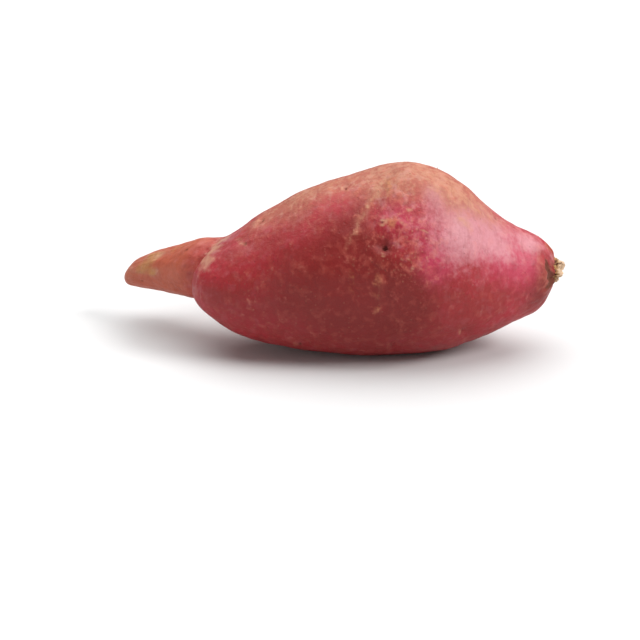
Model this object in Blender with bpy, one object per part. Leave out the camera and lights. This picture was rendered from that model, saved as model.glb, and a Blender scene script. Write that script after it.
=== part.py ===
"""A whole sweet potato, lying on its belly.

It is one storage root that grew as one piece: a bent tail, a fat belly with a hump, a
narrowing neck, a blunt snout and the woody crown stub that it hung from. Metres, with
+X from the tail to the crown and +Z up. The root rests on a small flat spot at Z = 0.

The surface starts as a sphere primitive with its poles at the tail and at the crown.
Each ring of the sphere becomes a cross-section of the root, and what stands out of
the surface or dips into it is raised on it by formula.
"""

import math
import random
from dataclasses import dataclass, replace

import bmesh
import bpy
import numpy as np
from mathutils import Vector, noise

# Driving dimensions, in metres
LENGTH = 0.1875  # from the tail's tip to the crown's cut end, along X
GIRTH = 0.0800  # the belly's thickness under the hump
PRESSED = 0.0010  # how far the belly is pressed flat where the root rests

# The mesh: rings from tail to crown, and points round each ring
RINGS = 75
AROUND = 80
SAMPLES = 4001  # fine steps along the root, from which the rings are spaced
RING_SPREAD = 0.012  # adds to the radius, so that thin stretches don't take all the rings
CROWN_REACH = 0.009  # the last stretch, where the rings stand closer
CROWN_CLOSENESS = 1.6

# Both ends close in a short rounded stretch
TAIL_ROUNDING = 0.0040
STUB_ROUNDING = 0.0009
# Both ends are slanted: their upper side stands further towards the crown, by so many
# metres of X a metre of height, and the slant fades out over its reach
TAIL_LEAN, TAIL_LEAN_REACH = 0.42, 0.014
CROWN_LEAN, CROWN_LEAN_REACH = 0.14, 0.022

# The relief fades out where the root is thinner than these radii
RELIEF_RADIUS = 0.016
POLE_RADIUS = 0.002

# Clock angles round the root are degrees: 0 faces forward, 90 up, 180 back and 270 down
UP = np.array((0.0, 0.0, 1.0))
FORWARD = np.array((0.0, -1.0, 0.0))


@dataclass(frozen=True)
class Station:
    """A cross-section of the root. along is a share of LENGTH, the rest shares of GIRTH.

    behind is how far its middle stands back, and under and over are the heights of its
    lower and upper side.
    """

    along: float
    behind: float
    under: float
    over: float
    width: float


@dataclass(frozen=True)
class Swelling:
    """A soft lump, or with a height below zero a soft hollow. Metres and degrees.

    overhang leans it towards the tail's tip, or below zero towards the crown.
    """

    along: float
    clock: float
    reach: float
    reach_round: float
    height: float
    overhang: float = 0.0


@dataclass(frozen=True)
class Eye:
    """A dent where a side root grew, with a brow of swollen skin on its tail side.

    stretch says how much longer it is round the root than along it.
    """

    along: float
    clock: float
    size: float
    depth: float
    stretch: float


@dataclass(frozen=True)
class Crease:
    """A shallow furrow part of the way round the root. slant is in metres a radian."""

    along: float
    clock: float
    reach_round: float
    width: float
    depth: float
    slant: float = 0.0


STATIONS = (
    Station(0.000, 0.420, 0.221, 0.351, 0.130),  # the tail's tip
    Station(0.035, 0.390, 0.217, 0.387, 0.170),
    Station(0.090, 0.320, 0.220, 0.448, 0.235),  # the tail
    Station(0.150, 0.220, 0.222, 0.518, 0.300),
    Station(0.195, 0.145, 0.222, 0.564, 0.338),
    Station(0.236, 0.104, 0.192, 0.572, 0.382),  # the heel beside it
    Station(0.266, 0.042, 0.125, 0.626, 0.545),
    Station(0.311, 0.006, 0.075, 0.712, 0.680),
    Station(0.368, 0.000, 0.045, 0.786, 0.785),
    Station(0.432, 0.000, 0.022, 0.868, 0.870),  # the flank
    Station(0.530, 0.000, 0.006, 0.941, 0.945),  # the belly
    Station(0.600, 0.000, 0.003, 0.990, 0.965),
    Station(0.646, 0.000, 0.008, 1.006, 0.960),  # the hump
    Station(0.700, 0.000, 0.022, 0.984, 0.930),
    Station(0.739, 0.000, 0.042, 0.942, 0.885),
    Station(0.775, 0.000, 0.070, 0.878, 0.825),  # the fall to the neck
    Station(0.814, 0.000, 0.106, 0.790, 0.735),
    Station(0.850, 0.000, 0.140, 0.726, 0.640),
    Station(0.895, 0.000, 0.175, 0.660, 0.515),
    Station(0.934, 0.000, 0.215, 0.615, 0.410),  # the snout
    Station(0.958, 0.000, 0.258, 0.564, 0.310),
    Station(0.972, 0.000, 0.318, 0.526, 0.205),  # round to the crown
    Station(0.981, 0.000, 0.362, 0.496, 0.134),  # the stub's foot
    Station(0.988, 0.000, 0.376, 0.482, 0.108),
    Station(1.000, 0.000, 0.380, 0.478, 0.098),  # its cut end
)

SWELLINGS = (
    Swelling(0.0545, 4.0, 0.0070, 0.0180, 0.0010, 0.0066),  # the heel, in front of the tail
    Swelling(0.0830, 55.0, 0.0180, 0.0300, -0.0008),  # a slack stretch before the hump
    Swelling(0.1250, 200.0, 0.0300, 0.0260, 0.0016),  # the back's own fullness
    Swelling(0.1815, 20.0, 0.0013, 0.0070, -0.0013, 0.0004),  # the fold beside the stub
    Swelling(0.1835, 190.0, 0.0020, 0.0060, 0.0010),
)

EYES = (
    Eye(0.1100, 25.0, 0.0045, 0.0032, 1.0),  # the deep one that faces forward
)

CREASES = (
    Crease(0.1000, 30.0, 46.0, 0.0085, 0.0017, 0.0080),  # the trough that the hump rises from
    Crease(0.1060, 50.0, 48.0, 0.0032, 0.0009, 0.0134),  # the corky seam before the hump
    Crease(0.1100, 8.0, 20.0, 0.0030, 0.0008),  # the fold that hangs from the deep eye
    Crease(0.1680, 45.0, 40.0, 0.0026, 0.0004),  # wrinkles at the neck
    Crease(0.1610, 110.0, 45.0, 0.0028, 0.0005),
    Crease(0.0760, 205.0, 40.0, 0.0040, 0.0006, -0.0080),  # seams on the back
    Crease(0.1380, 160.0, 38.0, 0.0032, 0.0008, 0.0060),
)

# Small eyes stand in rows along the root, on the sides that the deep one leaves free
EYE_ROWS = (75.0, 122.0, 165.0, 212.0, 318.0)
EYE_ROW_START = 0.048
EYE_ROW_END = 0.165
EYE_GAP = 0.033
EYE_JITTER = 0.008  # in metres along the root
EYE_JITTER_ROUND = 7.0  # in degrees
EYE_SIZES = (0.0026, 0.0036)
EYE_DEPTHS = (0.0008, 0.0016)
EYE_STRETCH = 1.8
EYE_SEED = 11
BROW_OFFSET = 1.5  # in the eye's sizes
BROW_SHARE = 0.3  # of the eye's depth

# Broad flutes along the root: how many, how deep as a share of the radius, where they start
FLUTES = ((2, 0.014, 0.6), (3, 0.014, 2.1), (5, 0.008, 4.0))
FLUTE_TWIST = 9.0  # radians a metre
LUMPS = ((0.021, 0.0009), (0.0085, 0.00030))  # size and height of the uneven growth


def smooth_curve(x, points_x, points_y):
    """The value at x of a curve through the points that never overshoots them."""
    step = np.diff(points_x)
    slope = np.diff(points_y) / step
    left, right = slope[:-1], slope[1:]
    same_way = left * right > 0
    tangent = np.concatenate([slope[:1], np.zeros(len(slope) - 1), slope[-1:]])
    tangent[1:-1][same_way] = (2 * left * right)[same_way] / (left + right)[same_way]
    i = np.clip(np.searchsorted(points_x, x) - 1, 0, len(step) - 1)
    t = (x - points_x[i]) / step[i]
    return (
        points_y[i] * (1 + 2 * t) * (1 - t) ** 2
        + points_y[i + 1] * t * t * (3 - 2 * t)
        + step[i] * (tangent[i] * t * (1 - t) ** 2 + tangent[i + 1] * t * t * (t - 1))
    )


def rounded(distance, reach):
    """Share of the full radius at a distance from an end that closes over reach."""
    return np.sqrt(1 - np.clip(1 - distance / reach, 0, 1) ** 2)


def rings():
    """The rings' distance along the root, their centres and their half widths and heights."""
    share = (1 - np.cos(np.linspace(0, math.pi, SAMPLES))) / 2
    places = np.array([s.along for s in STATIONS])
    behind, under, over, width = (
        smooth_curve(share, places, np.array([getattr(s, name) for s in STATIONS])) * GIRTH
        for name in ("behind", "under", "over", "width")
    )
    x = share * LENGTH
    closing = rounded(x, TAIL_ROUNDING) * rounded(LENGTH - x, STUB_ROUNDING)
    radius = (width + over - under) / 4 * closing
    walked = np.hypot(np.hypot(np.diff(x), np.diff(behind)), np.diff(radius))
    closer = 1 + CROWN_CLOSENESS * np.exp(-(((LENGTH - x[1:]) / CROWN_REACH) ** 2))
    passed = np.concatenate([[0], np.cumsum(walked / (radius[1:] + RING_SPREAD) * closer)])
    chosen = np.interp(np.linspace(0, passed[-1], RINGS + 1), passed, x)
    centres = np.stack([x, behind, (under + over) / 2], axis=1)
    halves = np.stack([width, over - under], axis=1) / 2 * closing[:, None]
    picked = [np.interp(chosen, x, column) for column in (*centres.T, *halves.T)]
    return chosen, np.stack(picked[:3], axis=1), np.stack(picked[3:], axis=1)


def ring_fronts(centres):
    """For each ring, the level unit vector that points square out of the front of the bend."""
    front = np.cross(np.gradient(centres, axis=0), UP)
    return front / np.linalg.norm(front, axis=1)[:, None]


def on_the_mesh(eye, along):
    """The eye, moved to the nearest point of the mesh, so that its full depth shows."""
    step = 360 / AROUND
    nearest = along[np.argmin(np.abs(along - eye.along))]
    return replace(eye, along=nearest, clock=round(eye.clock / step) * step)


def clock_gap(clock, other):
    """The signed angle from other to clock, in radians."""
    return math.remainder(math.radians(clock - other), 2 * math.pi)


def bell(*offsets):
    """A smooth bump that is 1 where every offset is 0."""
    return math.exp(-sum(offset * offset for offset in offsets))


def swelling_bump(swelling, along, clock, radius):
    a = (along - swelling.along) / swelling.reach
    r = clock_gap(clock, swelling.clock) * radius / swelling.reach_round
    return bell(a, r)


def eye_height(eye, along, clock, radius):
    a = (along - eye.along) / eye.size
    r = clock_gap(clock, eye.clock) * radius / (eye.size * eye.stretch)
    return eye.depth * (BROW_SHARE * bell(a + BROW_OFFSET, r) - bell(a, r))


def crease_height(crease, along, clock):
    gap = clock_gap(clock, crease.clock)
    off = (along - crease.along - crease.slant * gap) / crease.width
    return -crease.depth * bell(off, (gap / math.radians(crease.reach_round)) ** 2)


def small_eyes():
    """The small eyes, in their rows, each a little off its place."""
    chance = random.Random(EYE_SEED)
    eyes = []
    for row in EYE_ROWS:
        along = EYE_ROW_START + chance.uniform(0, EYE_GAP)
        while along < EYE_ROW_END:
            clock = row + chance.uniform(-1, 1) * EYE_JITTER_ROUND
            size = chance.uniform(*EYE_SIZES)
            eyes.append(Eye(along, clock, size, chance.uniform(*EYE_DEPTHS), EYE_STRETCH))
            along += EYE_GAP + chance.uniform(-1, 1) * EYE_JITTER
    return eyes


def relief(along, clock, radius, eyes):
    """How far the skin stands out from the plain ring at this place, in metres."""
    angle = math.radians(clock)
    flutes = sum(
        share * math.cos(count * angle + start + FLUTE_TWIST * along)
        for count, share, start in FLUTES
    )
    place = Vector((along, radius * math.cos(angle), radius * math.sin(angle)))
    lumps = sum(height * noise.noise(place / size) for size, height in LUMPS)
    return (
        (radius * flutes + lumps) * min(1.0, radius / RELIEF_RADIUS)
        + sum(s.height * swelling_bump(s, along, clock, radius) for s in SWELLINGS)
        + sum(eye_height(e, along, clock, radius) for e in eyes)
        + sum(crease_height(c, along, clock) for c in CREASES)
    )


def leaned(along, clock, radius, above_centre):
    """How far the skin is moved along X, towards the crown."""
    tail = TAIL_LEAN * max(0.0, 1 - along / TAIL_LEAN_REACH)
    crown = CROWN_LEAN * max(0.0, 1 - (LENGTH - along) / CROWN_LEAN_REACH)
    overhangs = sum(s.overhang * swelling_bump(s, along, clock, radius) for s in SWELLINGS)
    return (tail + crown) * above_centre - overhangs


def root_mesh():
    """The root's surface, shaped from a sphere whose poles are the tail and the crown."""
    shape = bmesh.new()
    bmesh.ops.create_uvsphere(shape, u_segments=AROUND, v_segments=RINGS, radius=1.0)
    along, centres, halves = rings()
    fronts = ring_fronts(centres)
    eyes = [on_the_mesh(eye, along) for eye in (*EYES, *small_eyes())]
    for vertex in shape.verts:
        polar = math.acos(max(-1.0, min(1.0, vertex.co.z)))
        ring = RINGS - round(polar / math.pi * RINGS)
        angle = math.atan2(vertex.co.y, vertex.co.x)
        clock = math.degrees(angle)
        x, radius = along[ring], halves[ring].mean()
        out = halves[ring] + relief(x, clock, radius, eyes) * min(1.0, radius / POLE_RADIUS)
        # Rings turn with the bend in front, and not on its inside, where they would cross
        turned = (1 + math.cos(angle)) / 2
        side = FORWARD + (fronts[ring] - FORWARD) * turned
        across = side * math.cos(angle) * out[0]
        place = centres[ring] + across + UP * math.sin(angle) * out[1]
        place[0] += leaned(x, clock, radius, place[2] - centres[ring][2])
        vertex.co = place
    mesh = bpy.data.meshes.new("sweet_potato")
    shape.normal_update()
    bmesh.ops.recalc_face_normals(shape, faces=shape.faces)
    shape.to_mesh(mesh)
    shape.free()
    return mesh


def set_down(mesh):
    """Centres the root over the origin and presses its belly flat on Z = 0."""
    points = np.empty(len(mesh.vertices) * 3)
    mesh.vertices.foreach_get("co", points)
    points = points.reshape(-1, 3)
    low, high = points.min(axis=0), points.max(axis=0)
    points -= ((low[0] + high[0]) / 2, (low[1] + high[1]) / 2, low[2] + PRESSED)
    points[:, 2] = np.maximum(points[:, 2], 0)
    mesh.vertices.foreach_set("co", points.ravel())
    mesh.update()


def skin_material():
    material = bpy.data.materials.new("skin")
    material.use_nodes = True
    shader = material.node_tree.nodes["Principled BSDF"]
    shader.inputs["Base Color"].default_value = (0.42, 0.085, 0.11, 1)
    shader.inputs["Roughness"].default_value = 0.5
    shader.inputs["Metallic"].default_value = 0
    return material


def main():
    for obj in list(bpy.data.objects):
        bpy.data.objects.remove(obj)
    collection = bpy.data.collections.new("sweet potato")
    bpy.context.scene.collection.children.link(collection)
    mesh = root_mesh()
    set_down(mesh)
    mesh.shade_smooth()
    mesh.materials.append(skin_material())
    root = bpy.data.objects.new("sweet_potato", mesh)
    collection.objects.link(root)


main()
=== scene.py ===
"""Dresses a whole sweet potato: its skin, its woody crown stub and its root threads.

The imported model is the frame. Its one node, the root's plain form, is replaced by a finer
skin that keeps the form and adds the relief and the colours that the plain form lacks.
Metres, with +X from the tail to the crown and +Z up. Clock angles round the root are
degrees: 0 faces forward, 90 up, 180 back and 270 down.
"""

from __future__ import annotations

import logging
import math
import random
from collections.abc import Mapping, Sequence
from dataclasses import dataclass
from enum import Enum
from typing import Any

import bmesh
import bpy
import numpy as np
from mathutils import Matrix, Vector, noise


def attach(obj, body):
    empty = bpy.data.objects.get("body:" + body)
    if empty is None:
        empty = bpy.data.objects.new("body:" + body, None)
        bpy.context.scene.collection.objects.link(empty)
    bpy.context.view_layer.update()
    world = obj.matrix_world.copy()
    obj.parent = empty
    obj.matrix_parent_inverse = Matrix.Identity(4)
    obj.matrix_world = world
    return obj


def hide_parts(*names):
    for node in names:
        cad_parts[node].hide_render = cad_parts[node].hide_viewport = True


logging.basicConfig(level=logging.INFO, format="%(levelname)s %(message)s")
LOG = logging.getLogger("sweet_potato")

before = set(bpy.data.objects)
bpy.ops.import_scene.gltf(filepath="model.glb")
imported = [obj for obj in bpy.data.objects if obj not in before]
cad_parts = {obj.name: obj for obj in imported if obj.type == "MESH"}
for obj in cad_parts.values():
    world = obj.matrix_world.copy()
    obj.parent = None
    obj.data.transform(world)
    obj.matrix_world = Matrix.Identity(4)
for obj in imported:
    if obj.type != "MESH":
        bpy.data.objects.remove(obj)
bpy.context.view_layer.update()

ROOT = "sweet_potato"
BODY = "root"


class Tint(Enum):
    """The root's colours in daylight, among them painted shade and a painted sheen, as screen
    values from 0 to 255.
    """

    ROSE = (148, 37, 38)
    CRIMSON = (164, 27, 43)
    DEEP = (116, 21, 17)
    MAGENTA = (180, 56, 82)
    LILAC = (195, 134, 141)
    TAN = (165, 100, 78)
    SAND = (188, 138, 108)
    SALMON = (202, 102, 84)
    CREAM = (216, 184, 152)
    RUST = (174, 82, 56)
    OLIVE = (172, 124, 70)
    UMBER = (84, 40, 22)
    SOOT = (58, 9, 5)
    STRAW = (176, 144, 96)
    FLOOR = (212, 212, 212)

    @property
    def rgba(self) -> tuple[float, float, float, float]:
        """The colour in the linear values that shaders take."""
        shares = [value / 255 for value in self.value]
        red, green, blue = (s / 12.92 if s < 0.04 else ((s + 0.055) / 1.055) ** 2.4 for s in shares)
        return red, green, blue, 1.0


class Slot(Enum):
    """The record's material slots."""

    SKIN = "skin"
    BARK = "bark"


@dataclass(frozen=True)
class Wire:
    """A value that varies over a surface. Python's arithmetic on it adds Math nodes."""

    shader: Shader
    socket: bpy.types.NodeSocket

    def _math(self, operation: str, left: Wire | float, right: Wire | float) -> Wire:
        """The result of a Math node on two values."""
        return self.shader.add("ShaderNodeMath", {"operation": operation}, {0: left, 1: right})

    def __add__(self, other: Wire | float) -> Wire:
        """The sum."""
        return self._math("ADD", self, other)

    __radd__ = __add__

    def __sub__(self, other: Wire | float) -> Wire:
        """The difference."""
        return self._math("SUBTRACT", self, other)

    def __rsub__(self, other: float) -> Wire:
        """The difference, from a number."""
        return self._math("SUBTRACT", other, self)

    def __mul__(self, other: Wire | float) -> Wire:
        """The product."""
        return self._math("MULTIPLY", self, other)

    __rmul__ = __mul__

    def ramp(self, low: float, high: float) -> Wire:
        """How far the value has come from low to high.

        Args:
            low: The value that gives 0.
            high: The value that gives 1. It may be below low.

        Returns:
            A mask from 0 to 1, eased at both ends.
        """
        settings = {"interpolation_type": "SMOOTHSTEP"}
        return self.shader.add(
            "ShaderNodeMapRange", settings, {"Value": self, "From Min": low, "From Max": high}
        )


class Shader:
    """The nodes of one material."""

    def __init__(self, name: str) -> None:
        """Starts a material.

        Args:
            name: The material's name.
        """
        self.material = bpy.data.materials.new(name)
        self.material.use_nodes = True
        self.tree = self.material.node_tree
        self.surface = self.tree.nodes["Principled BSDF"]

    def feed(self, socket: bpy.types.NodeSocket, value: Any) -> None:
        """Links a socket, or sets its value.

        Args:
            socket: The input socket.
            value: A wire, a tint, or a plain value.
        """
        if isinstance(value, Wire):
            self.tree.links.new(value.socket, socket)
        elif isinstance(value, Tint):
            socket.default_value = value.rgba
        else:
            socket.default_value = value

    def add(
        self,
        kind: str,
        settings: Mapping[str, Any],
        sockets: Mapping[str | int, Any],
        output: str | int = 0,
    ) -> Wire:
        """Adds any node.

        Args:
            kind: The node's type.
            settings: The node's own settings, which are set first.
            sockets: The value or link of each input socket.
            output: The output to go on with.

        Returns:
            The chosen output.
        """
        node = self.tree.nodes.new(kind)
        for name, value in settings.items():
            setattr(node, name, value)
        for key, value in sockets.items():
            self.feed(node.inputs[key], value)
        return Wire(self, node.outputs[output])

    def mix(self, under: Wire | Tint, over: Wire | Tint, mask: Wire | float) -> Wire:
        """Lays one colour over another.

        Args:
            under: The colour where the mask is 0.
            over: The colour where the mask is 1.
            mask: The mask.

        Returns:
            The mixed colour.
        """
        sockets = {0: mask, 6: under, 7: over}
        return self.add("ShaderNodeMix", {"data_type": "RGBA"}, sockets, output=2)

    def layered(self, colour: Wire, *layers: tuple[Tint, Wire]) -> Wire:
        """Lays tints over a colour, each through its mask, from the lowest up."""
        for tint, mask in layers:
            colour = self.mix(colour, tint, mask)
        return colour

    def bump(self, height: Wire, strength: float, depth: float) -> Wire:
        """The normals of a relief that is so many metres deep."""
        sockets = {"Height": height, "Strength": strength, "Distance": depth}
        return self.add("ShaderNodeBump", {}, sockets)

    def finish(self, **values: Any) -> bpy.types.Material:
        """Feeds the surface.

        Args:
            values: The value of each of its sockets, named with _ for a blank.

        Returns:
            The finished material.
        """
        for name, value in values.items():
            self.feed(self.surface.inputs[name.replace("_", " ")], value)
        return self.material

    def attribute(self, name: str, output: str = "Fac") -> Wire:
        """One of the mesh's own attributes."""
        return self.add("ShaderNodeAttribute", {"attribute_name": name}, {}, output)

    def scaled(self, where: Wire, size: tuple[float, float, float]) -> Wire:
        """Coordinates in which a box of the given size in metres is one unit wide."""
        scale = tuple(1 / side for side in size)
        return self.add("ShaderNodeMapping", {}, {"Vector": where, "Scale": scale})

    def grain(
        self,
        where: Wire,
        size: tuple[float, float, float],
        detail: float = 3.0,
        twist: float = 0.0,
    ) -> Wire:
        """Cloudy noise.

        Args:
            where: The coordinates.
            size: How long its features are along each axis, in metres.
            detail: How many finer layers it has.
            twist: How much it is distorted.

        Returns:
            The noise, mostly from 0.3 to 0.7.
        """
        sockets = {
            "Vector": self.scaled(where, size),
            "Scale": 1.0,
            "Detail": detail,
            "Roughness": 0.58,
            "Distortion": twist,
        }
        return self.add("ShaderNodeTexNoise", {}, sockets)

    def grains(
        self, where: Wire, size: tuple[float, float, float], detail: float = 2.0
    ) -> tuple[Wire, Wire, Wire]:
        """Three cloudy noises that differ.

        Args:
            where: The coordinates.
            size: How long their features are along each axis, in metres.
            detail: How many finer layers they have.

        Returns:
            The noises, each mostly from 0.3 to 0.7.
        """
        sockets = {"Vector": self.scaled(where, size), "Scale": 1.0, "Detail": detail}
        noises = self.add("ShaderNodeTexNoise", {}, sockets, "Color")
        parts = self.add("ShaderNodeSeparateColor", {}, {"Color": noises})
        red, green, blue = (Wire(self, output) for output in parts.socket.node.outputs)
        return red, green, blue

    def specks(
        self, where: Wire, size: tuple[float, float, float], reach: float, share: float
    ) -> Wire:
        """Scattered specks.

        Args:
            where: The coordinates.
            size: How far apart they stand along each axis, in metres.
            reach: How wide a speck is, as a share of that distance.
            share: The share of the specks that show.

        Returns:
            A mask that is 1 on the specks.
        """
        sockets = {"Vector": self.scaled(where, size), "Scale": 1.0, "Randomness": 1.0}
        near = self.add("ShaderNodeTexVoronoi", {}, sockets)
        chance = self.add("ShaderNodeTexVoronoi", {}, sockets, "Color")
        drawn = self.add("ShaderNodeSeparateColor", {}, {"Color": chance})
        return near.ramp(reach, reach * 0.45) * drawn.ramp(1 - share, 1 - share * 0.8)


@dataclass(frozen=True)
class SkinFinish:
    """The root's skin: rose to magenta, with tan scurf, pale flecks and olive stains, and with
    painted shade and a painted lilac sheen.
    """

    roughness: float = 0.50
    scurf_roughness: float = 0.14
    bark_roughness: float = 0.30
    pit_roughness: float = 0.50
    uneven_roughness: float = 0.30
    specular: float = 0.33
    bump_strength: float = 0.75
    bump_depth: float = 0.00055

    def material(self) -> bpy.types.Material:
        """Makes the material.

        Returns:
            A material that reads the skin mesh's own attributes.
        """
        shader = Shader("sweet potato skin")
        girth = shader.attribute("girth", "Vector")
        place = shader.add("ShaderNodeTexCoord", {}, {}, "Object")
        mask = {name: shader.attribute(name) for name in RootSkin.MASKS}

        broad = shader.grain(girth, (0.014, 0.015, 0.015), 2.0, 0.5)
        cloud = shader.grain(place, (0.005, 0.0046, 0.0046), 3.0, 0.6)
        streak = shader.grain(girth, (0.003, 0.015, 0.015), 2.0, 0.9)
        mottle = shader.grains(place, (0.0032, 0.0034, 0.0034), 2.0)
        grit = shader.grains(place, (0.0014, 0.0016, 0.0016), 2.0)
        fine = shader.grain(place, (0.0006, 0.0007, 0.0007), 2.0)
        ragged = cloud - 0.5 + (mottle[0] - 0.5) * 0.9 + (grit[0] - 0.5) * 0.9
        ticks = shader.specks(girth, (0.0016, 0.0036, 0.0036), 0.30, 0.22)
        dots = shader.specks(place, (0.0019, 0.002, 0.002), 0.28, 0.26)
        pores = shader.specks(place, (0.0026, 0.0025, 0.0025), 0.17, 0.30)

        scurf = (mask["scurf"] + ragged * 0.55 + (streak - 0.5) * 0.9).ramp(0.05, 1.35)
        crust = (mask["scurf"] + (grit[1] - 0.5) * 1.6 + (mottle[1] - 0.5) * 1.6).ramp(0.80, 1.55)
        bumpy = (mask["pimply"] + (cloud - 0.5) * 1.2).ramp(0.05, 0.95)
        spread = 0.26 + bumpy * 0.74
        # The share of the skin that has no painted shade
        unshaded = mask["deep"].ramp(1.10, 0.20)
        bark = (mask["bark"] + ragged * 0.8).ramp(0.25, 1.05)
        hole_shade = mask["hole_shade"].ramp(0.25, 0.85)

        colour = shader.mix(Tint.ROSE, Tint.CRIMSON, (broad * 0.5 + cloud * 0.5).ramp(0.38, 0.64))
        colour = shader.layered(
            colour,
            # Painted shade: darker on the underside, in the folds and round the deep eye
            (Tint.DEEP, (mask["deep"] + ragged * 0.4).ramp(0.0, 1.25) * 0.92),
            (Tint.RUST, (mask["rust"] + ragged * 0.5).ramp(0.05, 0.95)),
            (Tint.MAGENTA, (mask["magenta"] + ragged * 0.5).ramp(0.05, 1.15) * 0.85),
            # A painted lilac sheen where the highlights fall
            (Tint.LILAC, (mask["painted_sheen"] + ragged * 0.7).ramp(0.10, 1.20) * 0.85),
            (Tint.TAN, scurf * 0.80),
            (Tint.SAND, crust * 0.55),
            (Tint.OLIVE, (mask["olive"] + ragged * 0.8).ramp(0.20, 1.20) * 0.70),
            # Small blots of every tint lie over the skin, thickest where it is pimply; the lilac
            # blots and streaks are a painted sheen, kept out of the painted shade
            (Tint.SALMON, mottle[0].ramp(0.48, 0.68) * spread * 0.38),
            (Tint.LILAC, mottle[1].ramp(0.50, 0.70) * spread * unshaded * 0.32),
            (Tint.DEEP, mottle[2].ramp(0.48, 0.70) * spread * 0.40),
            (Tint.SALMON, grit[0].ramp(0.52, 0.70) * bumpy * 0.26),
            (Tint.SAND, grit[2].ramp(0.56, 0.72) * bumpy * 0.16),
            (Tint.DEEP, grit[1].ramp(0.52, 0.72) * spread * 0.30),
            (Tint.DEEP, streak.ramp(0.48, 0.28) * 0.20),
            (Tint.LILAC, streak.ramp(0.54, 0.72) * unshaded * 0.08),
            (Tint.SAND, ticks * bumpy * 0.22),
            (Tint.SAND, dots * (0.08 + bumpy * 0.18)),
            (Tint.UMBER, pores * (0.25 + bumpy * 0.45)),
            # Pale flecks, lids and knob rings, with painted highlights on the heel's edge, the
            # tail's tip and the front
            (Tint.SAND, (mask["rim"] + ragged * 0.4).ramp(0.15, 1.05) * 0.8),
            (Tint.UMBER, bark * 0.85),
            # Painted shade, near black, in the holes, slits and pores
            (Tint.SOOT, hole_shade * 0.92),
        )

        height = cloud * 0.80 + mottle[0] * 0.45 + fine * 0.22 + ticks * 0.10 + dots * 0.10
        height = height + scurf * grit[0] * 0.30 - pores * 0.20
        rough = self.roughness + scurf * self.scurf_roughness + bark * self.bark_roughness
        rough = rough + (cloud - 0.5) * self.uneven_roughness + hole_shade * self.pit_roughness
        return shader.finish(
            Base_Color=colour,
            Roughness=rough,
            Normal=shader.bump(height, self.bump_strength, self.bump_depth),
            Specular_IOR_Level=self.specular,
        )


@dataclass(frozen=True)
class BarkFinish:
    """The crown stub's dry wood: brown bark outside, and pale torn fibres on the cut end."""

    roughness: float = 0.82
    uneven_roughness: float = 0.2
    bump_strength: float = 0.8
    bump_depth: float = 0.0006

    def material(self) -> bpy.types.Material:
        """Makes the material.

        Returns:
            A material that reads Object coordinates and the mesh's cut attribute.
        """
        shader = Shader("sweet potato bark")
        place = shader.add("ShaderNodeTexCoord", {}, {}, "Object")
        fibre = shader.grain(place, (0.004, 0.0006, 0.0006), 3.0, 0.6)
        patch = shader.grain(place, (0.0016, 0.0016, 0.0016), 4.0)
        fine = shader.grain(place, (0.0003, 0.0003, 0.0003), 2.0)
        pale = (shader.attribute("cut") + (patch - 0.5) * 1.7 + (fine - 0.5)).ramp(0.30, 0.85)
        colour = shader.mix(Tint.UMBER, Tint.OLIVE, (patch + (fibre - 0.5) * 0.8).ramp(0.36, 0.60))
        colour = shader.layered(
            colour,
            (Tint.STRAW, (fibre * 0.6 + fine * 0.4).ramp(0.50, 0.66) * 0.7),
            (Tint.CREAM, pale * 0.92),
            (Tint.UMBER, patch.ramp(0.40, 0.30) * 0.7),
        )
        height = fibre * 0.6 + fine * 0.4 + patch * 0.5
        return shader.finish(
            Base_Color=colour,
            Roughness=self.roughness + (fine - 0.5) * self.uneven_roughness,
            Normal=shader.bump(height, self.bump_strength, self.bump_depth),
        )


def only(obj: bpy.types.Object) -> bpy.types.Object:
    """Makes an object the only one that is selected, and the active one.

    Args:
        obj: The object.

    Returns:
        The same object.
    """
    bpy.ops.object.select_all(action="DESELECT")
    obj.select_set(True)
    bpy.context.view_layer.objects.active = obj
    return obj


def new_object(name: str, data: bpy.types.ID) -> bpy.types.Object:
    """Links a new object for a mesh, a lamp or a camera, alone in the selection."""
    obj = bpy.data.objects.new(name, data)
    bpy.context.scene.collection.objects.link(obj)
    return only(obj)


def own_copy(obj: bpy.types.Object) -> bpy.types.Object:
    """A copy of an object in the scene, with its own mesh."""
    copy = obj.copy()
    copy.data = obj.data.copy()
    bpy.context.scene.collection.objects.link(copy)
    return copy


def settle(obj: bpy.types.Object, name: str) -> bpy.types.Object:
    """Names a primitive, and moves its place into its mesh.

    Args:
        obj: The object that holds the primitive.
        name: Its new name.

    Returns:
        The same object, at the origin.
    """
    obj.name = name
    obj.data.name = name
    only(obj)
    bpy.ops.object.transform_apply(location=True, rotation=True, scale=True)
    return obj


def joined(parts: Sequence[bpy.types.Object], name: str) -> bpy.types.Object:
    """Joins objects into one piece, and names it."""
    only(parts[0])
    for part in parts:
        part.select_set(True)
    bpy.ops.object.join()
    return settle(bpy.context.object, name)


def dress(piece: bpy.types.Object, finish: bpy.types.Material) -> None:
    """Gives a piece its finish, and sets it on the root in the plain form's place.

    Args:
        piece: The piece.
        finish: Its material.
    """
    piece.data.materials.clear()
    piece.data.materials.append(finish)
    piece.data.shade_smooth()
    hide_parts(ROOT)
    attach(piece, BODY)


def cut_across(mesh: bpy.types.Mesh, axis: int, straight: float, cuts: int) -> None:
    """Subdivides the edges that run along an axis, in edit mode.

    Args:
        mesh: The mesh in edit mode.
        axis: The axis, from 0 to 2.
        straight: How straight along it an edge has to run, up to 1.
        cuts: The number of cuts.
    """
    shape = bmesh.from_edit_mesh(mesh)
    for part in (*shape.verts, *shape.edges, *shape.faces):
        part.select = False
    for edge in shape.edges:
        way = (edge.verts[0].co - edge.verts[1].co).normalized()
        edge.select = abs(way[axis]) > straight
    bmesh.update_edit_mesh(mesh)
    bpy.ops.mesh.subdivide(number_cuts=cuts)


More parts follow.
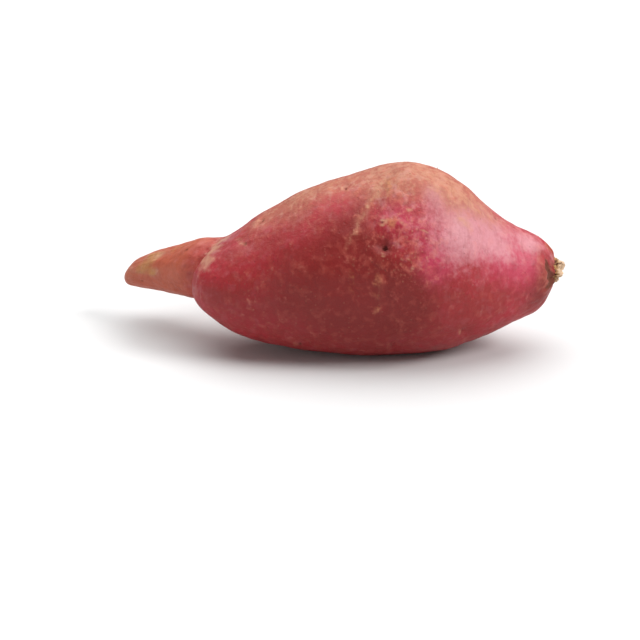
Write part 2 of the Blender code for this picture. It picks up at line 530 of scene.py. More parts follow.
def rows_of(data: bpy.types.bpy_prop_collection, key: str) -> np.ndarray:
    """One value of each item, as rows of three."""
    values = np.empty(len(data) * 3)
    data.foreach_get(key, values)
    return values.reshape(-1, 3)


def points_of(mesh: bpy.types.Mesh) -> np.ndarray:
    """The mesh's vertices as rows of three."""
    return rows_of(mesh.vertices, "co")


def move_points(mesh: bpy.types.Mesh, points: np.ndarray) -> None:
    """Puts the mesh's vertices at the given places."""
    mesh.vertices.foreach_set("co", points.ravel())
    mesh.update()


def apply_modifier(obj: bpy.types.Object, kind: str, **settings: Any) -> None:
    """Adds a modifier, and applies it at once.

    Args:
        obj: The object.
        kind: The modifier's type.
        settings: The modifier's settings.
    """
    only(obj)
    modifier = obj.modifiers.new(kind.lower(), kind)
    for name, value in settings.items():
        setattr(modifier, name, value)
    bpy.ops.object.modifier_apply(modifier=modifier.name)


def paint(mesh: bpy.types.Mesh, name: str, values: np.ndarray) -> None:
    """Stores an attribute on the mesh's vertices.

    Args:
        mesh: The mesh.
        name: The attribute's name.
        values: A number, or a row of three, for each vertex.
    """
    kind, key = ("FLOAT", "value") if values.ndim == 1 else ("FLOAT_VECTOR", "vector")
    layer = mesh.attributes.new(name, kind, "POINT")
    layer.data.foreach_set(key, values.ravel())


def ripple(points: np.ndarray, size: Sequence[float], shift: float = 0.0) -> np.ndarray:
    """Smooth noise at each point.

    Args:
        points: Rows of three coordinates.
        size: How long its features are along each axis.
        shift: Moves the pattern, so that two ripples differ.

    Returns:
        Values mostly from -0.5 to 0.5.
    """
    return np.array([noise.noise(Vector(row)) for row in points / np.array(size) + shift])


def eased(values: np.ndarray, low: float, high: float) -> np.ndarray:
    """How far the values have come from low to high, from 0 to 1, eased at both ends."""
    share = np.clip((values - low) / (high - low), 0, 1)
    return share * share * (3 - 2 * share)


def bell(*ratios: np.ndarray) -> np.ndarray:
    """A round hill that is 1 where every ratio is 0."""
    return np.exp(-sum(ratio**2 for ratio in ratios))


@dataclass(frozen=True)
class Furrow:
    """A fold part of the way round the root. depth is below zero for a ridge."""

    along: float
    clock: float
    reach_round: float
    width: float
    depth: float
    slant: float = 0.0
    mask: str = ""
    strength: float = 1.0


@dataclass(frozen=True)
class Nub:
    """A small pale knob with a dark pore."""

    along: float
    clock: float
    size: float
    height: float
    pore: float = 1.0
    pale: float = 0.72


@dataclass(frozen=True)
class Eye:
    """A dent where a side root grew."""

    along: float
    clock: float
    size: float
    depth: float


@dataclass(frozen=True)
class DeepEye(Eye):
    """A round hole with a dark slit, a folded lip, and a fold that runs into it."""

    folds: int = 6
    lip_height: float = 0.00032
    slit_width: float = 0.0007
    fold_depth: float = 0.0009
    fold_length: float = 0.0062
    fold_width: float = 0.0018


@dataclass
class Survey:
    """Where each point of the skin stands on the root.

    girth is the root straightened out: the distance along it, and the place on a round
    section that is the same size everywhere.
    """

    along: np.ndarray
    angle: np.ndarray
    radius: np.ndarray
    girth: np.ndarray

    def offsets(self, along: float, clock: float) -> tuple[np.ndarray, np.ndarray]:
        """How far each point is from a place on the skin.

        Args:
            along: The place's distance from the tail's tip, in metres.
            clock: Its clock angle, in degrees.

        Returns:
            The offsets along the root and round it, in metres.
        """
        gap = np.angle(np.exp(1j * (self.angle - math.radians(clock))))
        return self.along - along, gap * self.radius


# Each mask's soft patches of colour: the place along the root and round it, the reach along
# it and round it, and the strength. Metres and degrees
PATCHES: Mapping[str, Sequence[tuple[float, float, float, float, float]]] = {
    "rust": (
        (0.01, 60, 0.025, 0.06, 1.3), (0.03, 60, 0.013, 0.03, 0.55),  # the tail
        (0.046, 190, 0.012, 0.016, 0.6),
        (0.17, 84, 0.01, 0.005, 0.3),  # the hump
        (0.1796, 4, 0.004, 0.008, 0.45),  # the snout
    ),
    "olive": (
        (0.0165, 54, 0.0036, 0.0036, 1.35), (0.019, 14, 0.0026, 0.0022, 1.2),  # the tail
        (0.0135, 72, 0.004, 0.0024, 0.6), (0.012, 26, 0.005, 0.0034, 1.15),
        (0.0275, 71, 0.006, 0.003, 0.6), (0.009, 210, 0.006, 0.008, 0.7),
        (0.09, 84, 0.014, 0.005, 0.4),  # the flank
        (0.1138, 40, 0.0024, 0.0034, 0.85), (0.1126, 66, 0.0018, 0.009, 0.85),  # the front
        (0.108, 0, 0.0022, 0.016, 0.42), (0.0984, 6, 0.0018, 0.012, 0.4),
        (0.112, 262, 0.012, 0.01, 0.6),  # the underside
        (0.181, 84, 0.003, 0.006, 0.7),  # the crown
    ),
    "rim": (
        (0.0188, 57, 0.0032, 0.0026, 0.85), (0.005, 10, 0.007, 0.007, 0.35),  # the tail, with painted light on its tip
        (0.1431, 46, 0.0042, 0.004, 0.6), (0.1322, 64, 0.004, 0.005, 0.5),  # the front, painted highlights
    ),
    "scurf": (
        (0.022, 16, 0.0036, 0.0028, 1.1), (0.0385, 74, 0.004, 0.005, 0.5),  # the tail
        (0.019, 64, 0.005, 0.0036, 0.8), (0.01, 100, 0.015, 0.012, 0.35),
        (0.005, 20, 0.01, 0.013, 0.6),
        (0.0763, 62, 0.008, 0.009, 0.38), (0.086, 92, 0.019, 0.017, 0.75),  # the flank
        (0.065, 100, 0.012, 0.014, 0.55), (0.09, 76, 0.01, 0.006, 0.25),
        (0.0765, 84, 0.009, 0.008, 0.45), (0.062, 74, 0.006, 0.008, 0.6),
        (0.118, 90, 0.023, 0.019, 1.15), (0.113, 66, 0.011, 0.011, 0.55),  # the hump
        (0.133, 74, 0.012, 0.009, 0.55), (0.143, 68, 0.011, 0.007, 0.6),
        (0.122, 56, 0.006, 0.007, 0.35), (0.153, 66, 0.007, 0.005, 0.35),
        (0.141, 50, 0.006, 0.006, 0.35), (0.156, 84, 0.014, 0.008, 0.45),
        (0.144, 92, 0.014, 0.009, 0.4), (0.122, 20, 0.006, 0.008, 0.5),
        (0.143, 62, 0.009, 0.0055, 0.32), (0.136, 56, 0.004, 0.005, 0.4),  # the front
        (0.1758, 36, 0.003, 0.006, 0.6), (0.1785, 0, 0.005, 0.007, 0.35),  # the snout
        (0.117, 126, 0.024, 0.014, 0.6), (0.076, 140, 0.014, 0.01, 0.6),  # the back
        (0.154, 150, 0.012, 0.01, 0.5), (0.101, 196, 0.016, 0.01, 0.55),
        (0.09, 270, 0.02, 0.016, 0.45), (0.13, 280, 0.016, 0.014, 0.55),  # the underside
    ),
    "magenta": (
        (0.039, 50, 0.005, 0.012, 0.4),  # the tail
        (0.056, 52, 0.004, 0.01, 0.35),  # the heel
        (0.166, 120, 0.016, 0.016, 0.55), (0.119, 38, 0.009, 0.012, 0.5),  # the hump
        (0.131, 30, 0.008, 0.014, 0.6), (0.131, 14, 0.008, 0.01, 0.75),  # the front
        (0.1131, 47, 0.008, 0.006, 0.5), (0.1415, 76, 0.003, 0.0032, 0.7),
        (0.156, 34, 0.014, 0.014, 1), (0.168, 36, 0.008, 0.012, 0.8),  # the snout
        (0.162, 200, 0.014, 0.02, 0.6),  # the back
    ),
    # Painted shade: low on the tail, the snout, the front and the back, in the trough and beside
    # the deep eye
    "deep": (
        (0.026, 30, 0.006, 0.006, 0.65), (0.022, -24, 0.012, 0.0036, 0.6),  # the tail
        (0.033, 10, 0.01, 0.007, 0.6),
        (0.1786, -4, 0.006, 0.01, 1.2), (0.174, -24, 0.008, 0.011, 0.6),  # the snout
        (0.108, -26, 0.042, 0.024, 1), (0.105, 0, 0.018, 0.015, 0.55),  # the lower front
        (0.097, 26, 0.009, 0.02, 1), (0.088, 12, 0.02, 0.016, 0.62),
        (0.08, 40, 0.018, 0.012, 0.3), (0.118, 2, 0.012, 0.012, 0.25),
        (0.119, -10, 0.009, 0.011, 0.7), (0.1076, 29, 0.0036, 0.003, 1.1),
        (0.065, 0, 0.02, 0.018, 0.35),
        (0.076, 200, 0.016, 0.014, 0.5),  # the back
    ),
    # A painted lilac sheen where the highlights fall on the heel, the hump, the front and the snout
    "painted_sheen": (
        (0.053, 72, 0.003, 0.005, 0.5),  # the heel
        (0.138, 76, 0.01, 0.006, 0.35), (0.152, 98, 0.024, 0.009, 0.5),  # the hump
        (0.12, 36, 0.008, 0.012, 0.28), (0.131, 60, 0.006, 0.006, 0.95),  # the front
        (0.13, 44, 0.005, 0.008, 0.35), (0.144, 46, 0.009, 0.008, 1.1),
        (0.1402, 26, 0.0115, 0.009, 0.9), (0.154, 56, 0.01, 0.01, 0.95),
        (0.15, 66, 0.008, 0.006, 0.6), (0.171, 62, 0.007, 0.006, 1),
        (0.1812, 60, 0.0014, 0.002, 0.45), (0.16, 34, 0.008, 0.006, 0.5),
        (0.13, 170, 0.015, 0.012, 0.6),  # the back
    ),
    "bark": (
        (0.1812, 4, 0.0016, 0.004, 0.55), (0.1788, -10, 0.001, 0.003, 0.45),  # the snout
        (0.1836, 0, 0.001, 0.004, 0.6), (0.1808, -12, 0.0014, 0.0018, 0.85),  # the crown
        (0.0608, 50.5, 0.0009, 0.001, 0.8), (0.0342, 56.9, 0.001, 0.001, 1),
        (0.0119, -13.3, 0.0014, 0.001, 0.9),
    ),
}


@dataclass
class RootSkin:
    """The storage root's skin, made from the plain form."""

    fine_levels: int = 2
    merge_gap: float = 0.00002
    girth_radius: float = 0.040
    lump_height: float = 0.00034
    wrinkle_height: float = 0.00016
    ring_height: float = 0.00008
    pimple_gap: float = 0.0024
    pimple_height: float = 0.00042
    pimple_share: float = 0.75
    pucker_folds: int = 9
    pucker_depth: float = 0.00042
    collar: float = 0.1822
    collar_width: float = 0.0030
    # The wood hides the skin's own stub, which is drawn in towards this x by these factors
    stub_middle: float = 0.0885
    stub_narrow: tuple[float, float, float] = (0.30, 0.55, 0.55)
    # The root's middle line: the distance along it, x, y and z
    axis: tuple[tuple[float, float, float, float], ...] = (
        (0.0000, -0.0934, 0.0323, 0.0216),
        (0.0060, -0.0874, 0.0302, 0.0227),
        (0.0120, -0.0814, 0.0272, 0.0242),
        (0.0200, -0.0734, 0.0223, 0.0262),
        (0.0280, -0.0654, 0.0164, 0.0283),
        (0.0365, -0.0569, 0.0104, 0.0301),
        (0.0440, -0.0494, 0.0062, 0.0293),
        (0.0500, -0.0434, 0.0026, 0.0287),
        (0.0580, -0.0354, 0.0000, 0.0301),
        (0.0690, -0.0244, -0.0012, 0.0319),
        (0.0810, -0.0124, -0.0013, 0.0343),
        (0.0950, 0.0016, -0.0013, 0.0360),
        (0.1120, 0.0186, -0.0013, 0.0384),
        (0.1250, 0.0316, -0.0013, 0.0392),
        (0.1400, 0.0466, -0.0013, 0.0378),
        (0.1530, 0.0596, -0.0013, 0.0344),
        (0.1680, 0.0746, -0.0013, 0.0321),
        (0.1800, 0.0866, -0.0013, 0.0316),
        (0.1875, 0.0941, -0.0013, 0.0330),
    )
    deep_eye: DeepEye = DeepEye(0.1112, 24.6, 0.0015, 0.0015)
    small_eye: Eye = Eye(0.0764, 33.0, 0.0016, 0.0007)
    nubs: tuple[Nub, ...] = (
        Nub(0.1103, 40.6, 0.0017, 0.001, 1, 1.05),
        Nub(0.1177, 38.8, 0.001, 0.0004, 0.3),
        Nub(0.121, 46.9, 0.001, 0.0006, 0, 0.95),
        Nub(0.1255, 33.7, 0.0009, 0.00045, 0.2, 0.85),
        Nub(0.1279, 32.9, 0.0007, 0.0003, 0),
        Nub(0.1104, 20.4, 0.0011, 0.0005, 0),
        Nub(0.1204, 15.9, 0.001, 0.0004, 0.5),
        Nub(0.1177, 16.7, 0.0008, 0.0003, 0.3),
        Nub(0.1216, 11.6, 0.0009, 0.00035, 0.4),
        Nub(0.1106, 71, 0.0008, 0.00035, 0, 0.95),
        Nub(0.1047, 55, 0.0008, 0.00025, 0.2, 0.5),
        Nub(0.1002, 37, 0.0008, 0.00025, 0.2, 0.55),
    )
    furrows: tuple[Furrow, ...] = (
        Furrow(0.103, 50, 25, 0.0019, -0.0002, 0.0185, "scurf", 0.6),  # the corky seam
        Furrow(0.103, 50, 22, 0.001, -0.0001, 0.0185, "rim", 0.5),
        # Painted shade in the trough beside the seam
        Furrow(0.0992, 44, 30, 0.0032, 0.0004, 0.016, "deep", 0.45),
        Furrow(0.1092, 2, 22, 0.0014, -0.0003, 0, "scurf", 0.45),  # below the deep eye, with painted shade in two of its grooves
        Furrow(0.1118, 0, 20, 0.0012, 0.00035, 0, "deep", 0.5),
        Furrow(0.1142, 6, 16, 0.001, -0.00022),
        Furrow(0.1068, 4, 18, 0.0013, 0.00022, 0, "deep", 0.4),
        Furrow(0.164, 40, 26, 0.0008, 0.00018, 0.001),  # the neck's wrinkles
        Furrow(0.1665, 30, 30, 0.0007, 0.00016, -0.001),
        Furrow(0.169, 60, 30, 0.0007, 0.00014, 0.001),
        Furrow(0.0482, 54, 36, 0.0044, 0, -0.0029, "painted_sheen", 0.6),  # the heel's rim, with a painted highlight along its edge
        Furrow(0.048, 54, 36, 0.004, -0.0001, -0.0029, "rim", 0.9),
        Furrow(0.048, 54, 36, 0.004, 0, -0.0029, "scurf", 0.3),
        Furrow(0.059, 54, 9, 0.0008, 0.00022, -0.0167, "rim", 0.5),
        Furrow(0.1803, 20, 24, 0.0015, 0.0009, -0.004, "bark", 1.4),  # beside the stub
        Furrow(0.1795, 200, 60, 0.0009, 0.0004, 0, "bark", 0.6),
        Furrow(0.069, 186, 40, 0.0012, 0.00035, 0.002, "deep", 0.5),  # the back's folds, with painted shade in two of its grooves
        Furrow(0.0935, 226, 30, 0.0011, 0.00028, 0, "scurf", 0.6),
        Furrow(0.1375, 168, 36, 0.001, 0.0003, -0.002, "deep", 0.45),
        Furrow(0.156, 206, 44, 0.0009, 0.00026, 0.001, "scurf", 0.55),
    )
    # Small eyes stand in rows along the root, as in the plain form
    eye_rows: tuple[float, ...] = (75.0, 122.0, 165.0, 212.0, 318.0)
    eye_start: float = 0.048
    eye_end: float = 0.165
    eye_gap: float = 0.033
    eye_jitter: float = 0.008
    eye_jitter_round: float = 7.0
    eye_sizes: tuple[float, float] = (0.0026, 0.0036)
    eye_depths: tuple[float, float] = (0.0008, 0.0016)
    eye_seed: int = 11

    MASKS = ("scurf", "rust", "olive", "magenta", "painted_sheen", "deep", "pimply", "rim", "bark", "hole_shade")

    def build(self) -> bpy.types.Object:
        """Builds the skin.

        Returns:
            The finished piece, riding on the root.
        """
        self.piece = new_object("skin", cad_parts[ROOT].data.copy())
        self.refine()
        self.eyes = self.eye_places()
        self.survey = self.measure()
        self.marks = {name: np.zeros(len(self.survey.along)) for name in self.MASKS}
        self.mesh = self.piece.data
        height = self.growth() + self.folds() + self.deep_funnel() + self.dents() + self.knobs()
        height += self.crown_pucker()
        outward = rows_of(self.mesh.vertex_normals, "vector")
        points = points_of(self.mesh) + outward * height[:, None]
        points = self.drawn_in(points)
        points[:, 2] = np.maximum(points[:, 2], 0)
        move_points(self.mesh, points)
        self.colour()
        dress(self.piece, SkinFinish().material())
        return self.piece

    def refine(self) -> None:
        """Merges the plain form's loose triangles into quads, and subdivides them."""
        bpy.ops.object.mode_set(mode="EDIT")
        bpy.ops.mesh.select_all(action="SELECT")
        bpy.ops.mesh.remove_doubles(threshold=self.merge_gap)
        bpy.ops.mesh.tris_convert_to_quads(face_threshold=0.6, shape_threshold=1.2)
        bpy.ops.mesh.normals_make_consistent(inside=False)
        bpy.ops.object.mode_set(mode="OBJECT")
        levels = {"levels": self.fine_levels, "render_levels": self.fine_levels}
        apply_modifier(self.piece, "SUBSURF", **levels)

    def eye_places(self) -> list[Eye]:
        """The small eyes, in their rows, each a little off its place."""
        chance = random.Random(self.eye_seed)
        eyes = []
        for row in self.eye_rows:
            along = self.eye_start + chance.uniform(0, self.eye_gap)
            while along < self.eye_end:
                clock = row + chance.uniform(-1, 1) * self.eye_jitter_round
                size = chance.uniform(*self.eye_sizes)
                eyes.append(Eye(along, clock, size, chance.uniform(*self.eye_depths)))
                along += self.eye_gap + chance.uniform(-1, 1) * self.eye_jitter
        return eyes

    def measure(self) -> Survey:
        """Finds where each point of the skin stands on the root."""
        points = points_of(self.piece.data)
        along, x, y, z = np.array(self.axis).T
        ahead = np.gradient(np.stack([x, y]), along, axis=1)
        ahead /= np.linalg.norm(ahead, axis=0)
        here = points[:, 0]
        beside = points[:, 1] - np.interp(here, x, y)
        above = points[:, 2] - np.interp(here, x, z)
        forward, sideways = (np.interp(here, x, part) for part in ahead)
        place = here - x[0] + beside * sideways
        angle = np.arctan2(above, -beside * forward)
        radius = np.hypot(above, beside)
        round_place = np.stack([np.cos(angle), np.sin(angle)], axis=1) * self.girth_radius
        girth = np.concatenate([place[:, None], round_place], axis=1)
        return Survey(place, angle, radius, girth)

    def growth(self) -> np.ndarray:
        """The height of the uneven growth: soft lumps, fine wrinkles and pimples."""
        girth = self.survey.girth
        fade = eased(self.survey.radius, 0.001, 0.008)
        lumps = self.lump_height * ripple(girth, (0.010, 0.012, 0.012), 3.0)
        wrinkles = self.wrinkle_height * ripple(girth, (0.0036, 0.005, 0.005), 7.0)
        where = eased(ripple(girth, (0.020, 0.020, 0.020), 11.0), -0.25, 0.30)
        rings = ripple(girth, (0.0018, 0.015, 0.015), 5.0) * self.ring_height * (0.35 + where)
        return (lumps + wrinkles + rings + self.pimples()) * fade

    def pimples(self) -> np.ndarray:
        """The height of the pimples, which stand thickest beside the deep eye."""
        away, aside = self.survey.offsets(0.1190, 24.0)
        thick = bell(away / 0.013, aside / 0.013)
        away, aside = self.survey.offsets(0.1150, 62.0)
        thick += 0.5 * bell(away / 0.016, aside / 0.012)
        thick += 0.16
        self.marks["pimply"] += thick
        heights = []
        for row in self.survey.girth / self.pimple_gap:
            distances, spots = noise.voronoi(Vector(row))
            drawn = noise.cell(spots[0] * 7.3) > 1 - self.pimple_share
            heights.append(max(0.0, 1 - distances[0] / 0.42) ** 1.4 * drawn)
        return np.array(heights) * thick * self.pimple_height

    def folds(self) -> np.ndarray:
        """The height of the furrows and ridges, and the colours that go with them."""
        height = np.zeros(len(self.survey.along))
        for furrow in self.furrows:
            away, aside = self.survey.offsets(furrow.along, furrow.clock)
            gap = aside / np.maximum(self.survey.radius, 0.0005)
            wander = ripple(self.survey.girth, (0.004, 0.006, 0.006), furrow.along * 900)
            off = (away - furrow.slant * gap) / furrow.width + wander * 1.1
            share = np.exp(-(off**2) - (gap / math.radians(furrow.reach_round)) ** 4)
            height -= furrow.depth * share
            if furrow.mask:
                self.marks[furrow.mask] += furrow.strength * share
        return height

    def deep_funnel(self) -> np.ndarray:
        """The height of the deep eye: a funnel with a lip and folds that run into it."""
        eye = self.deep_eye
        away, aside = self.survey.offsets(eye.along, eye.clock)
        apart = np.hypot(away, aside * 0.9) / eye.size
        turn = np.arctan2(aside, away)
        hole = bell(apart)
        lip = bell((apart - 1.75) / 0.55)
        wobble = 1.2 * ripple(self.survey.girth, (0.004, 0.004, 0.004), 21.0)
        spokes = np.cos(eye.folds * turn + wobble + 0.6)
        slit = (away * 0.85 - aside * 0.53) / eye.slit_width
        # Painted shade: near black in the slit, and darker round the hole
        self.marks["hole_shade"] += 1.20 * bell(slit, apart / 0.75)
        self.marks["deep"] += 0.80 * bell(apart / 1.6)
        self.marks["rim"] += 0.10 * lip * (aside < 0)
        self.marks["pimply"] -= 0.9 * bell(apart / 2.6)
        # The slope on the tail's side, above, lies in shade
        shade = bell((away + 0.0028) / 0.0024, (aside - 0.0018) / 0.002)
        self.marks["deep"] += 1.1 * shade
        self.marks["hole_shade"] += 0.30 * shade
        # A fold runs into the hole from the tail's side, a little from above, painted with shade.
        run = -(away * 0.93 - aside * 0.37)
        cross = away * 0.37 + aside * 0.93
        fold = eased(run, -0.0006, 0.001) * bell(run / eye.fold_length, cross / eye.fold_width)
        self.marks["deep"] += 1.40 * fold
        self.marks["hole_shade"] += 0.35 * fold * bell(run / 0.003)
        lip *= eye.lip_height * spokes * (away > 0)
        return lip - eye.depth * hole - eye.fold_depth * fold

    def dents(self) -> np.ndarray:
        """The height of the small eyes: a slit with a lid on its tail side."""
        height = np.zeros(len(self.survey.along))
        for eye in (*self.eyes, self.small_eye):
            away, aside = self.survey.offsets(eye.along, eye.clock)
            bowed = away + (aside / eye.size) ** 2 * 0.0008
            slit = bell(bowed / (eye.size * 0.28), aside / (eye.size * 0.85))
            lid = bell((bowed + eye.size * 0.55) / (eye.size * 0.3), aside / (eye.size * 1.2))
            height += 0.28 * eye.depth * lid - 0.60 * eye.depth * slit
            # The slit is painted near black with shade
            self.marks["hole_shade"] += 0.55 * slit**2
            self.marks["bark"] += 0.75 * slit
            self.marks["rim"] += 0.65 * lid
        return height

    def knobs(self) -> np.ndarray:
        """The height of the pale knobs near the deep eye."""
        height = np.zeros(len(self.survey.along))
        for nub in self.nubs:
            away, aside = self.survey.offsets(nub.along, nub.clock)
            apart = np.hypot(away, aside) / nub.size
            height += nub.height * (bell(apart) - 0.7 * nub.pore * bell(apart / 0.4))
            self.marks["rim"] += nub.pale * bell((apart - 0.60) / 0.40)
            # The pore is painted dark with shade
            self.marks["hole_shade"] += 0.8 * nub.pore * bell(apart / 0.42)
        return height

    def crown_pucker(self) -> np.ndarray:
        """The height of the skin's folds where it gathers round the crown stub."""
        near = eased(self.survey.along, 0.1720, 0.1815)
        wobble = 2.2 * ripple(self.survey.girth, (0.010, 0.012, 0.012), 31.0)
        folds = np.maximum(0, np.cos(self.pucker_folds * self.survey.angle + wobble)) ** 3
        self.marks["bark"] += 0.28 * near * folds + 0.25 * eased(self.survey.along, 0.1815, 0.1835)
        return -self.pucker_depth * near * folds

    def drawn_in(self, points: np.ndarray) -> np.ndarray:
        """The points with the skin's own stub drawn in, so that the wood covers it."""
        middle = np.array((self.stub_middle, *self.axis[-1][2:]))
        share = eased(self.survey.along, self.collar, self.collar + self.collar_width)[:, None]
        narrow = middle + (points - middle) * np.array(self.stub_narrow)
        return points + (narrow - points) * share

    def colour(self) -> None:
        """Stores where each colour shows, for the skin's material."""
        for mask, patches in PATCHES.items():
            for along, clock, reach, reach_round, strength in patches:
                away, aside = self.survey.offsets(along, clock)
                self.marks[mask] += strength * bell(away / reach, aside / reach_round)
        for name, values in self.marks.items():
            paint(self.mesh, name, values)
        paint(self.mesh, "girth", self.survey.girth)

    def spot(self, along: float, clock: float) -> tuple[Vector, Vector]:
        """A place on the finished skin.

        Args:
            along: The distance from the tail's tip, in metres.
            clock: The clock angle, in degrees.

        Returns:
            The point, and the way out of the skin there.
        """
        away, aside = self.survey.offsets(along, clock)
        nearest = int(np.argmin(away**2 + aside**2))
        vertex = self.mesh.vertices[nearest]
        return vertex.co.copy(), vertex.normal.copy()


@dataclass
class CrownStub:
    """The woody stub at the crown, where the root was torn from its vine."""

    foot: float = 0.0868
    end: float = 0.0926
    centre: tuple[float, float] = (-0.0013, 0.0332)
    radius: float = 0.0044
    lean: float = 0.14
    sides: int = 40
    rings: int = 10
    face_rings: int = 5
    fibre_depth: float = 0.0009
    hollow_depth: float = 0.0009
    slope_depth: float = 0.0007
    flake_count: int = 16
    flake_lengths: tuple[float, float] = (0.001, 0.002)
    flake_feet: tuple[float, float] = (0.0888, 0.0906)
    seed: int = 5

    def build(self, finish: bpy.types.Material) -> list[bpy.types.Object]:
        """Builds the stub and its bark flakes.

        Args:
            finish: The bark's material.

        Returns:
            The finished pieces, riding on the root.
        """
        pieces = [self.stub(), self.flakes()]
        for piece in pieces:
            dress(piece, finish)
        return pieces

    def stub(self) -> bpy.types.Object:
        """The stub itself: a fluted stump with a torn end."""
        length = self.end - self.foot
        middle = ((self.end + self.foot) / 2, *self.centre)
        bpy.ops.object.select_all(action="DESELECT")
        bpy.ops.mesh.primitive_cylinder_add(
            vertices=self.sides,
            radius=self.radius,
            depth=length,
            location=middle,
            rotation=(0, math.pi / 2, 0),
        )
        piece = settle(bpy.context.object, "crown_stub")
        bpy.ops.object.mode_set(mode="EDIT")
        cut_across(piece.data, 0, 0.9, self.rings)
        shape = bmesh.from_edit_mesh(piece.data)
        for face in shape.faces:
            face.select = face.normal.x > 0.9
        bmesh.update_edit_mesh(piece.data)
        bpy.ops.mesh.select_mode(type="FACE")
        for _ in range(self.face_rings):
            bpy.ops.mesh.inset(thickness=self.radius / (self.face_rings + 1), depth=0)
        bpy.ops.mesh.poke()
        bpy.ops.object.mode_set(mode="OBJECT")
        apply_modifier(piece, "SUBSURF", levels=1, render_levels=1)
        self.tear(piece.data)
        return piece

    def tear(self, mesh: bpy.types.Mesh) -> None:
        """Flutes the stub's side, tears its end, and stores where the pale wood shows."""
        points = points_of(mesh)
        middle = np.array((0.0, *self.centre))
        out = points - middle
        out[:, 0] = 0
        reach = np.linalg.norm(out, axis=1)
        angle = np.arctan2(out[:, 2], -out[:, 1])
        share = (points[:, 0] - self.foot) / (self.end - self.foot)
        rim = reach / self.radius
        flutes = 0.10 * np.cos(5 * angle + 0.7) + 0.06 * np.cos(9 * angle + 2.0)
        rough = 0.20 * ripple(points, (0.003, 0.0014, 0.0014), 4.0)
        flare = (0.30 + 0.34 * np.sin(angle)) * eased(share, 0.95, 0.1)
        flare -= 0.06 * eased(share, 0.4, 0.75)
        grow = 1 + (flutes + rough + flare) * np.clip(rim, 0, 1)
        points = middle * np.array((0, 1, 1)) + out * grow[:, None] + points * np.array((1, 0, 0))
        face = eased(share, 0.90, 1.0)
        fibres = self.fibre_depth * ripple(points, (0.010, 0.0007, 0.0007), 9.0)
        sunk = -self.hollow_depth * np.clip(1 - rim, 0, 1)
        points[:, 0] += face * (fibres + sunk) + self.lean * out[:, 2] * share
        points[:, 0] += self.slope_depth * face * np.cos(angle - 0.9)
        move_points(mesh, points)
        paint(mesh, "cut", face * 0.20 + 0.75 * eased(share, 0.50, 0.80))

    def flakes(self) -> bpy.types.Object:
        """Small scales of dry bark round the stub's foot."""
        chance = random.Random(self.seed)
        bpy.ops.object.select_all(action="DESELECT")
        bpy.ops.mesh.primitive_grid_add(x_subdivisions=6, y_subdivisions=4, size=1)
        scale = settle(bpy.context.object, "bark_flake")
        points = points_of(scale.data)
        taper = 1 - 0.6 * (points[:, 0] + 0.5) ** 2
        points[:, 1] *= taper
        points[:, 2] = 0.30 * (points[:, 0] + 0.5) ** 2 - 0.5 * points[:, 1] ** 2
        move_points(scale.data, points)
        apply_modifier(scale, "SOLIDIFY", thickness=0.10, offset=0.0)
        copies = []
        for number in range(self.flake_count):
            angle = 2 * math.pi * (number + chance.uniform(-0.4, 0.4)) / self.flake_count
            outward = Vector((0, -math.cos(angle), math.sin(angle)))
            at = self.radius * chance.uniform(1.05, 1.35)
            length = chance.uniform(*self.flake_lengths)
            copy = own_copy(scale)
            tip = Vector((chance.uniform(-0.1, 0.9), 0, 0))
            tip = (tip + outward * chance.uniform(0.3, 0.9)).normalized()
            side = tip.cross(outward).normalized()
            axes = Matrix((tip, side, tip.cross(side))).transposed().to_4x4()
            place = Vector((chance.uniform(*self.flake_feet), *self.centre)) + outward * at
            size = Matrix.Diagonal((length, length * chance.uniform(0.5, 0.9), length, 1))
            copy.data.transform(Matrix.Translation(place) @ axes @ size)
            copies.append(copy)
        bpy.data.objects.remove(scale)
        piece = joined(copies, "bark_flakes")
        bpy.ops.object.mode_set(mode="EDIT")
        bpy.ops.mesh.select_all(action="SELECT")
        bpy.ops.mesh.normals_make_consistent(inside=False)
        bpy.ops.object.mode_set(mode="OBJECT")
        paint(piece.data, "cut", 0.25 + 0.5 * ripple(points_of(piece.data), (0.002,) * 3))
        return piece


@dataclass
class RootThreads:
    """The dry stubs of side roots that still stand in some of the eyes."""

    skin: RootSkin
    radius: float = 0.00032
    lengths: tuple[float, float] = (0.0012, 0.003)
    bend: float = 0.5
    cuts: int = 4
    sunk: float = 0.0004
    share: float = 0.6
    clocks: tuple[float, float] = (90.0, 290.0)
    seed: int = 3

    def build(self, finish: bpy.types.Material) -> bpy.types.Object:
        """Builds the threads as one piece.

        Args:
            finish: The bark's material.

        Returns:
            The finished piece, riding on the root.
        """
        chance = random.Random(self.seed)
        bpy.ops.object.select_all(action="DESELECT")
        bpy.ops.mesh.primitive_cone_add(
            vertices=6, radius1=1.0, radius2=0.45, depth=1.0, location=(0, 0, 0.5)
        )
        thread = settle(bpy.context.object, "root_thread")
        bpy.ops.object.mode_set(mode="EDIT")
        cut_across(thread.data, 2, 0.7, self.cuts)
        bpy.ops.object.mode_set(mode="OBJECT")
        copies = []
        for eye in self.skin.eyes:
            bare = chance.random() > self.share
            if bare or not self.clocks[0] < eye.clock < self.clocks[1]:
                continue
            place, out = self.skin.spot(eye.along, eye.clock)
            length = chance.uniform(*self.lengths)
            bend = Vector((chance.uniform(-1, 1), chance.uniform(-1, 1), 0)) * self.bend
            copy = own_copy(thread)
            points = points_of(copy.data)
            rise = points[:, 2]
            points[:, :2] *= self.radius
            points[:, 0] += bend.x * length * rise**2
            points[:, 1] += bend.y * length * rise**2
            points[:, 2] = rise * length
            move_points(copy.data, points)
            turn = out.to_track_quat("Z", "Y").to_matrix().to_4x4()
            copy.data.transform(Matrix.Translation(place - out * self.sunk) @ turn)
            copies.append(copy)
        bpy.data.objects.remove(thread)
        piece = joined(copies, "root_threads")
        paint(piece.data, "cut", 0.2 + 0.4 * ripple(points_of(piece.data), (0.001,) * 3))
        dress(piece, finish)
        return piece


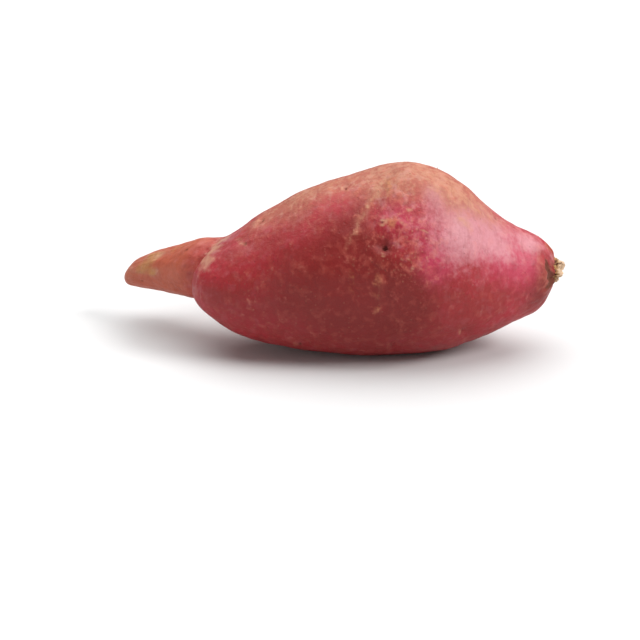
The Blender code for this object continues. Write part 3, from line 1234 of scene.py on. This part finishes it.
@dataclass(frozen=True)
class Softbox:
    """A far, wide studio light. way points to it, and spread is its width in degrees."""

    name: str
    way: tuple[float, float, float]
    spread: float
    strength: float


@dataclass(frozen=True)
class Studio:
    """The pale floor, the soft light and the camera."""

    aim: tuple[float, float, float] = (-0.0079, -0.0084, 0.0138)
    distance: float = 0.632
    elevation: float = 20.0
    lens: float = 85.0
    floor_size: float = 14.0
    floor_drop: float = 0.00005
    floor_roughness: float = 0.9
    world_strength: float = 0.28
    lights: tuple[Softbox, ...] = (
        Softbox("overhead", (0.0, 0.32, 1.0), 80.0, 3.3),
        Softbox("key", (0.70, -0.26, 0.58), 26.0, 2.3),
        Softbox("fill", (-0.90, -0.42, 0.04), 50.0, 0.70),
    )

    def build(self) -> None:
        """Sets up the camera, the floor, the world and the lights."""
        self.camera()
        self.floor()
        world = bpy.data.worlds.new("studio")
        world.use_nodes = True
        background = world.node_tree.nodes["Background"]
        background.inputs["Color"].default_value = (1, 1, 1, 1)
        background.inputs["Strength"].default_value = self.world_strength
        bpy.context.scene.world = world
        bpy.context.scene.view_settings.view_transform = "Standard"
        for light in self.lights:
            self.hang(light)

    def camera(self) -> None:
        """Puts the camera at the photograph's viewing angle."""
        slope = math.radians(self.elevation)
        back = Vector((0, -math.cos(slope), math.sin(slope)))
        data = bpy.data.cameras.new("camera")
        data.lens = self.lens
        camera = new_object("camera", data)
        camera.location = Vector(self.aim) + back * self.distance
        camera.rotation_mode = "QUATERNION"
        camera.rotation_quaternion = (-back).to_track_quat("-Z", "Y")
        bpy.context.scene.camera = camera

    def floor(self) -> None:
        """Lays the pale floor."""
        bpy.ops.object.select_all(action="DESELECT")
        bpy.ops.mesh.primitive_plane_add(size=self.floor_size, location=(0, 0, -self.floor_drop))
        floor = settle(bpy.context.object, "floor")
        finish = Shader("floor").finish(
            Base_Color=Tint.FLOOR, Roughness=self.floor_roughness, Specular_IOR_Level=0.2
        )
        floor.data.materials.append(finish)

    def hang(self, light: Softbox) -> None:
        """Hangs a light.

        Args:
            light: The light.
        """
        data = bpy.data.lights.new(light.name, "SUN")
        data.energy = light.strength
        data.angle = math.radians(light.spread)
        lamp = new_object(light.name, data)
        lamp.rotation_mode = "QUATERNION"
        lamp.rotation_quaternion = (-Vector(light.way)).to_track_quat("-Z", "Y")


def main() -> None:
    """Builds the studio and the root's pieces."""
    Studio().build()
    skin = RootSkin()
    piece = skin.build()
    LOG.info("%s: %d faces", piece.name, len(piece.data.polygons))
    bark = BarkFinish().material()
    pieces = [*CrownStub().build(bark), RootThreads(skin).build(bark)]
    for piece in pieces:
        LOG.info("%s: %d faces", piece.name, len(piece.data.polygons))


if __name__ == "__main__":
    main()
